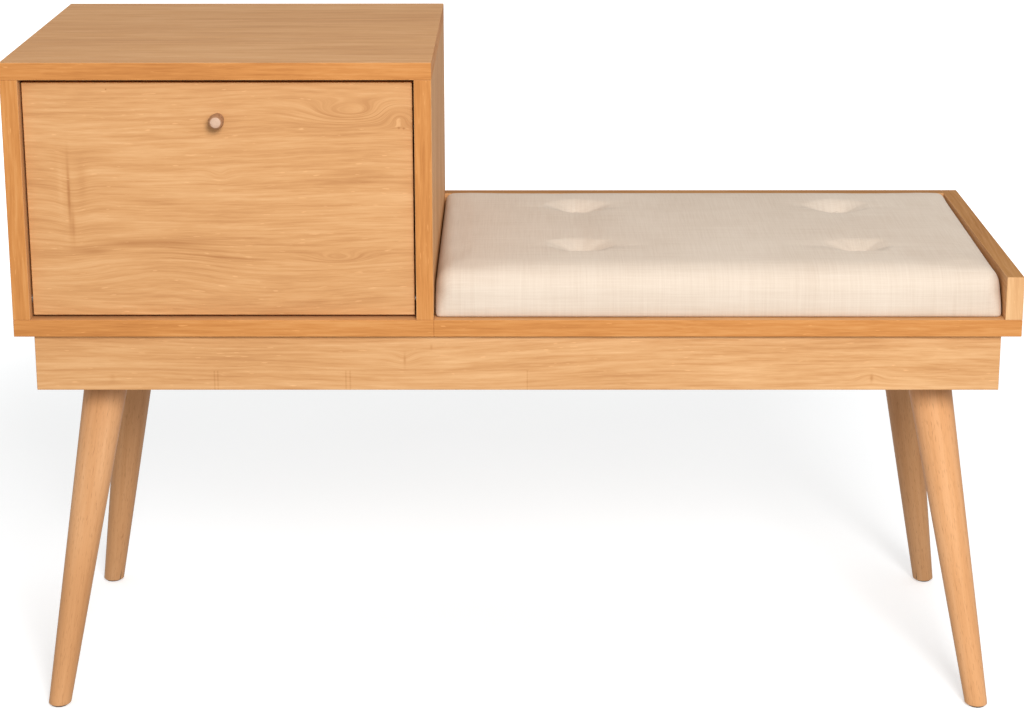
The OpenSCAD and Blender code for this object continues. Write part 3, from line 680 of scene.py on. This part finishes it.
def make_leg(node, plate, pale, feet):
    """A straight tapered leg along the line from its foot to the middle of its plate."""
    low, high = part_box(plate)
    top = middle_of(low, high)
    top.z = high.z
    foot = min((middle_of(*b) for b in feet), key=lambda m: (m - top).length)
    foot.z = 0
    axis = (top - foot).normalized()
    length = LEG_TOP / axis.z
    bm = bmesh.new()
    profile = [(0, -LEG_BELOW)]
    for i in range(LEG_RINGS + 1):
        height = -LEG_BELOW + (length + LEG_BELOW - 1.5 * MM) * i / LEG_RINGS
        profile.append((FOOT_R + (TOP_R - FOOT_R) * height / length, height))
    profile += [(TOP_R - 0.5 * MM, length - 0.5 * MM), (TOP_R - 1.6 * MM, length), (0, length)]
    lathe(bm, profile)
    place = Matrix.Translation(foot) @ axis.to_track_quat("Z", "Y").to_matrix().to_4x4()
    back = place.inverted()
    floor_point = back @ Vector((foot.x, foot.y, GLIDE_H))
    floor_normal = back.to_3x3() @ Vector((0, 0, 1))
    geometry = list(bm.verts) + list(bm.edges) + list(bm.faces)
    cut = bmesh.ops.bisect_plane(
        bm, geom=geometry, plane_co=floor_point, plane_no=floor_normal, clear_inner=True)
    rim = [e for e in cut["geom_cut"] if isinstance(e, bmesh.types.BMEdge)]
    bmesh.ops.contextual_create(bm, geom=rim)
    bmesh.ops.bevel(bm, geom=rim, offset=FOOT_BEVEL, segments=3, profile=0.5, affect="EDGES")
    bm.transform(place)
    # pale scales the colours: painted light on the front legs, painted shade on the back legs
    colours = [[min(1, pale * c) for c in colour] for colour in LEG_COLOURS]
    piece = new_piece(node + "_turned", bm, "carcass", [beech(node + "_wood", axis, *colours)])
    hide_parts(node)


def make_knob():
    """A turned knob, whose body is coloured darker than its flat end-grain front."""
    low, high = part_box("knob")
    axis = Vector((0, -1, 0))
    profile = [(0, 0), *smooth_profile(KNOB_BODY, 4), *KNOB_FRONT]
    bm = bmesh.new()
    lathe(bm, [(r * MM, h * MM) for r, h in profile], 72)
    for f in bm.faces:
        f.material_index = int(f.calc_center_median().z > KNOB_FRONT_FROM)
    middle = middle_of(low, high)
    bm.transform(Matrix.Translation((middle.x, high.y, middle.z)) @ Matrix.Rotation(math.pi / 2, 4, "X"))
    materials = [
        beech("knob_wood", axis, (0.23, 0.11, 0.052), (0.35, 0.175, 0.09), (0.44, 0.245, 0.14)),
        beech("knob_front", axis, (0.47, 0.29, 0.19), (0.58, 0.38, 0.27), (0.67, 0.48, 0.36)),
    ]
    piece = new_piece("turned_knob", bm, "door", materials)
    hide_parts("knob")


# ---------------------------------------------------------------- cushion

CELL = 5 * MM                             # side of a face before it is subdivided
TOP_ROOM = 1.2 * MM                       # how much lower the cover starts before it is inflated
SEWN_R = 8 * MM                           # radius round a button where the cover stays put
SIM_FRAMES = 16
PRESSURE = 4.0
FRONT_R = 26 * MM                         # rounding of the cover's upper front edge
BACK_R = 11 * MM                          # and of its upper back edge
SWELL = 3 * MM                            # how far the inflated cover moves out at most
CROWN = 2 * MM                            # and how much further at the middle of its top
SMOOTHING = 8                             # rounds that even out the inflated cover's moves
SPREAD = 1.8 * MM                         # how far the cover may stand out past its CAD solid's sides
TUFT_DEPTH = 9.2 * MM
TUFT_REACH = (38 * MM, 31 * MM)           # along X and Y
TUFTED = 9 * MM                           # the tufts draw down what lies this close to the top
FOLD_DEPTH = 1 * MM
FOLD_REACH = (52 * MM, 8 * MM)            # the crease in front of each tuft
FOLD_FORWARD = 6 * MM
FOAM_INSET = 3 * MM
UNDERSIDE_COLOURS = ((0.42, 0.34, 0.25), (0.52, 0.44, 0.34), (0.60, 0.52, 0.42))
CLOTH_T = 0.5 * MM
CLOTH_BORDER = 11 * MM                    # width of the bottom cloth's hem
CLOTH_HEM = 0.1 * MM                      # height of the hem over the cushion's lowest face
CLOTH_UP = 0.6 * MM                       # and of the rest
CLOTH_SAG = 0.35 * MM
# a covered button's profile with a fold round its rim, as (radius, height) in millimetres
BUTTON_PROFILE = (
    (0, 0), (4.6, 0), (5.7, 0.7), (6, 1.6), (5.7, 2.7), (5.1, 3.3), (4.6, 3.45), (4.2, 3.6), (3, 4.35),
    (1.5, 4.85), (0, 5),
)


def rounded(p, low, high, front, back, flat_bottom):
    """Moves a point of a box's surface onto its rounded form, whose corners are squarer low down."""
    radius = front + (back - front) * (p[1] - low[1]) / (high[1] - low[1])
    shoulder = high[2] - 0.9 * radius
    square = 0.3 + 0.7 * min(1, (p[2] - low[2]) / (shoulder - low[2])) ** 1.5
    radii = (0.65 * radius * square, radius * square, 0.9 * radius)
    inner = [min(max(p[k], low[k] + radii[k]), high[k] - radii[k]) for k in range(2)]
    inner.append(p[2] if flat_bottom else min(p[2], shoulder))
    offset = Vector([(p[k] - inner[k]) / radii[k] for k in range(3)])
    reach = max(abs(c) for c in offset)
    if reach < 1e-6:
        return Vector(p)
    offset = offset.normalized() * reach
    return Vector([inner[k] + offset[k] * radii[k] for k in range(3)])


def box_shell(low, high, cell, front, back):
    """A closed grid of near-square faces over a box with rounded top edges and corners."""
    counts = [max(2, round((high[k] - low[k]) / cell)) for k in range(3)]
    bm = bmesh.new()
    made = {}

    def vertex(*index):
        if index not in made:
            p = [low[k] + (high[k] - low[k]) * index[k] / counts[k] for k in range(3)]
            made[index] = bm.verts.new(rounded(p, low, high, front, back, index[2] == 0))
        return made[index]

    for axis in range(3):
        a, b = [k for k in range(3) if k != axis]
        for side in (0, counts[axis]):
            for i in range(counts[a]):
                for j in range(counts[b]):
                    corners = []
                    for di, dj in ((0, 0), (1, 0), (1, 1), (0, 1)):
                        index = [0, 0, 0]
                        index[axis], index[a], index[b] = side, i + di, j + dj
                        corners.append(vertex(*index))
                    bm.faces.new(corners)
    bmesh.ops.recalc_face_normals(bm, faces=bm.faces)
    return bm


def tuft_dip(x, y, tufts):
    """How far the cover is drawn down at a point, by the buttons sewn through it."""
    dip = 0
    for tuft in tufts:
        dx, dy = x - tuft.x, y - tuft.y
        angle = math.atan2(dy, dx)
        pucker = 1 + 0.05 * math.sin(5 * angle + 40 * tuft.x) + 0.03 * math.sin(9 * angle + 90 * tuft.y)
        reach = math.hypot(dx / TUFT_REACH[0], dy / TUFT_REACH[1]) * pucker
        if reach < 1:
            dip += TUFT_DEPTH * min(1, 1.15 * (1 - reach)) ** 1.2
        fold = (dx / FOLD_REACH[0]) ** 2 + ((dy + FOLD_FORWARD) / FOLD_REACH[1]) ** 2
        dip += FOLD_DEPTH * math.exp(-fold)
    return dip


def swollen_places(piece, held):
    """Where the cloth's points come to lie when pressure swells it and the held points stay."""
    group = piece.vertex_groups.new(name="held")
    group.add(held, 1.0, "REPLACE")
    cloth = piece.modifiers.new("cloth", "CLOTH")
    cloth.settings.quality = 4
    cloth.settings.use_pressure = True
    cloth.settings.uniform_pressure_force = PRESSURE
    cloth.settings.vertex_group_mass = "held"
    cloth.settings.effector_weights.gravity = 0
    cloth.collision_settings.use_collision = False
    cloth.point_cache.frame_end = SIM_FRAMES
    scene = bpy.context.scene
    for number in range(1, SIM_FRAMES + 1):
        scene.frame_set(number)
    graph = bpy.context.evaluated_depsgraph_get()
    places = [v.co.copy() for v in piece.evaluated_get(graph).data.vertices]
    piece.modifiers.remove(cloth)
    piece.vertex_groups.clear()
    scene.frame_set(1)
    return places


def evened(moves, mesh, held):
    """The moves, each mixed with its neighbours' several times; held points don't move."""
    near = [[] for _ in moves]
    for edge in mesh.edges:
        a, b = edge.vertices
        near[a].append(b)
        near[b].append(a)
    fixed = set(held)
    for _ in range(SMOOTHING):
        around = [sum((moves[j] for j in others), Vector()) / len(others) for others in near]
        moves = [move if i in fixed else (move + around[i]) / 2 for i, move in enumerate(moves)]
    return moves


def inflate(piece, held, caps):
    """Swells a closed cloth over its foam: no point moves inwards, or further than its cap."""
    moves = []
    for v, target, cap in zip(piece.data.vertices, swollen_places(piece, held), caps):
        move = target - v.co
        move -= min(0, move.dot(v.normal)) * v.normal
        moves.append(move * min(1, cap / max(move.length, 1e-9)))
    for v, move in zip(piece.data.vertices, evened(moves, piece.data, held)):
        v.co += move


def crown(x, y, low, high):
    """How much further than SWELL the cover may rise at a point: most at its middle."""
    across = [(value - a) / (b - a) * 2 - 1 for value, a, b in ((x, low.x, high.x), (y, low.y, high.y))]
    return CROWN * (1 - across[0] ** 2) * (1 - across[1] ** 2)


def shape_cover(v, low, high, cloth_low, cloth_high, tufts):
    """Keeps a point off the boards, draws it down at the tufts, and makes room for the bottom cloth."""
    x = min(max(v.co.x, low.x - SPREAD), high.x + SPREAD)
    y = min(max(v.co.y, low.y - SPREAD), high.y + SPREAD)
    z = max(v.co.z, low.z)
    if z < low.z + 0.5 * MM and cloth_low.x < x < cloth_high.x and cloth_low.y < y < cloth_high.y:
        z = cloth_high.z
    if z > high.z - TUFTED:
        z -= tuft_dip(x, y, tufts)
    v.co = (x, y, z)


def make_cover(material, tufts):
    """The sewn cover: a rounded box, inflated over its foam, subdivided, and drawn down at the tufts."""
    low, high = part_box("cushion_cover")
    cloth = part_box("cushion_bottom_cloth")
    wide = Vector((SPREAD, 0, 0))
    bm = box_shell(low - wide, high + wide - Vector((0, 0, TOP_ROOM)), CELL, FRONT_R, BACK_R)
    held = [
        v.index for v in bm.verts
        if v.co.z < low.z + 1e-5
        or (v.co.z > high.z - CELL and min((v.co.xy - tuft.xy).length for tuft in tufts) < SEWN_R)
    ]
    piece = new_piece("linen_cover", bm, "cushion", [material])
    inflate(piece, held, [SWELL + crown(v.co.x, v.co.y, low, high) for v in piece.data.vertices])
    smooth = piece.modifiers.new("smooth", "SUBSURF")
    smooth.levels = smooth.render_levels = 1
    bpy.context.view_layer.update()
    bake_modifiers(piece)
    for v in piece.data.vertices:
        shape_cover(v, low, high, *cloth, tufts)
    piece.data.shade_smooth()
    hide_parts("cushion_cover")


def make_buttons(material, tufts):
    """Cloth-covered buttons."""
    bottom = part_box("cushion_buttons")[0].z
    bm = bmesh.new()
    for tuft in tufts:
        place = Matrix.Translation((tuft.x, tuft.y, bottom))
        lathe(bm, [(r * MM, h * MM) for r, h in BUTTON_PROFILE], 40, place)
    piece = new_piece("covered_buttons", bm, "cushion", [material])
    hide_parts("cushion_buttons")


def make_bottom_cloth(material):
    """The thin cloth under the cushion, with a folded hem."""
    low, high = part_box("cushion_bottom_cloth")
    counts = (56, 34)
    bm = bmesh.new()
    grid = {}
    for i in range(counts[0] + 1):
        for j in range(counts[1] + 1):
            x = low.x + (high.x - low.x) * i / counts[0]
            y = low.y + (high.y - low.y) * j / counts[1]
            edge = min(x - low.x, high.x - x, y - low.y, high.y - y)
            sag = CLOTH_SAG * noise.noise(Vector((x, y, 0)) * 14)
            z = low.z + (CLOTH_HEM if edge < CLOTH_BORDER else CLOTH_UP + sag)
            grid[i, j] = bm.verts.new((x, y, z))
    for i in range(counts[0]):
        for j in range(counts[1]):
            bm.faces.new([grid[i, j], grid[i, j + 1], grid[i + 1, j + 1], grid[i + 1, j]])
    piece = new_piece("bottom_cloth", bm, "cushion", [material])
    thick = piece.modifiers.new("thick", "SOLIDIFY")
    thick.thickness = CLOTH_T
    thick.offset = -1
    bpy.context.view_layer.update()
    bake_modifiers(piece)
    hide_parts("cushion_bottom_cloth")


def make_foam(material, tufts):
    """The foam core, drawn down at the tufts like its cover."""
    low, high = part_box("cushion_foam")
    inset = Vector((FOAM_INSET, FOAM_INSET, 0))
    top = high - inset - Vector((0, 0, FOAM_INSET))
    bm = box_shell(low + inset, top, 2 * CELL, 1.2 * FRONT_R, 1.2 * BACK_R)
    for v in bm.verts:
        if v.co.z > high.z - 4 * MM:
            v.co.z -= 1.15 * tuft_dip(v.co.x, v.co.y, tufts)
    piece = new_piece("foam_block", bm, "cushion", [material])
    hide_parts("cushion_foam")


def make_cushion():
    tufts = [middle_of(*b) for b in islands("cushion_buttons")]
    cover = linen("linen", (0.59, 0.48, 0.385), (0.68, 0.58, 0.485), (0.76, 0.67, 0.575))
    make_cover(cover, tufts)
    make_buttons(cover, tufts)
    make_bottom_cloth(linen("underside_cloth", *UNDERSIDE_COLOURS))
    make_foam(foam(), tufts)


# ---------------------------------------------------------------- hardware


def finish_hardware():
    """Materials for the CAD nodes that are shown as they are."""
    finishes = {
        "hardboard": hardboard(),
        "plain_wood": plain_wood(),
        "steel": metal("steel", (0.62, 0.61, 0.58), 0.32),
        "zinc": metal("zinc", (0.50, 0.50, 0.50), 0.42, "X"),
        "dark_plastic": moulded("dark_plastic", (0.035, 0.028, 0.024), (0.06, 0.05, 0.045), 0.5),
        "white_plastic": moulded("white_plastic", (0.62, 0.60, 0.56), (0.72, 0.70, 0.66), 0.38),
        "magnet": moulded("magnet", (0.03, 0.03, 0.032), (0.06, 0.06, 0.062), 0.6),
        "bottom_cloth": linen("button_back", *UNDERSIDE_COLOURS),
        "cord": linen("tuft_cord", (0.5, 0.44, 0.34), (0.6, 0.54, 0.44), (0.7, 0.64, 0.54)),
    }
    replaced = {"linen", "foam", "beech", "oak_board"}
    for part in frame["record"]["subparts"]:
        slot = part["material_slot"]
        if slot in replaced:
            continue
        node = frame["nodes"].get(part["node"])
        if node is None:
            continue
        for item in node.material_slots:
            item.material = finishes[slot]
        if not node.material_slots:
            node.data.materials.append(finishes[slot])


# ---------------------------------------------------------------- studio

FLOOR_R = 8                               # metres of flat floor round the bench
WALL_R = 4                                # radius of the curve from the floor into the surround


def make_studio():
    """A plain pale floor that rises all round into a plain white surround."""
    bm = bmesh.new()
    turns = [math.pi * i / 24 for i in range(13)]
    curve = [(FLOOR_R + WALL_R * math.sin(t), WALL_R - WALL_R * math.cos(t)) for t in turns]
    lathe(bm, [(0, 0), (1, 0), (2, 0), (4, 0), *curve, (FLOOR_R, 3 * WALL_R), (0, 3.5 * WALL_R)], 96)
    mesh = bpy.data.meshes.new("floor")
    bm.to_mesh(mesh)
    bm.free()
    mesh.shade_smooth()
    g = Graph("floor", Roughness=0.95)
    g.set("Specular IOR Level", 0.1)
    clouds = g.noise(g.coords, scale=3, detail=2.0)
    g.set("Base Color", g.ramp(clouds, (0.3, (0.74, 0.77, 0.80)), (0.7, (0.76, 0.79, 0.82))))
    g.set("Emission Color", (1, 1, 1, 1))
    distance = g.node("ShaderNodeVectorMath", operation="LENGTH")
    g.feed(distance.inputs[0], g.coords)
    g.set("Emission Strength", g.span(distance.outputs["Value"], 1.0, 2.4, 0.46, 1.0))
    mesh.materials.append(g.material)
    floor = bpy.data.objects.new("floor", mesh)
    bpy.context.collection.objects.link(floor)
    floor.visible_glossy = floor.visible_diffuse = floor.visible_shadow = False


# ---------------------------------------------------------------- build

make_camera()
make_lights()
make_studio()
boards = make_boards()
pocket_sides(boards)
for board in boards.values():
    even_shading(board)
feet = islands("floor_glides")
# each leg's pale factor is painted light or painted shade for its place
for leg, plate, pale in LEGS:
    make_leg(leg, plate, pale, feet)
make_knob()
make_cushion()
finish_hardware()
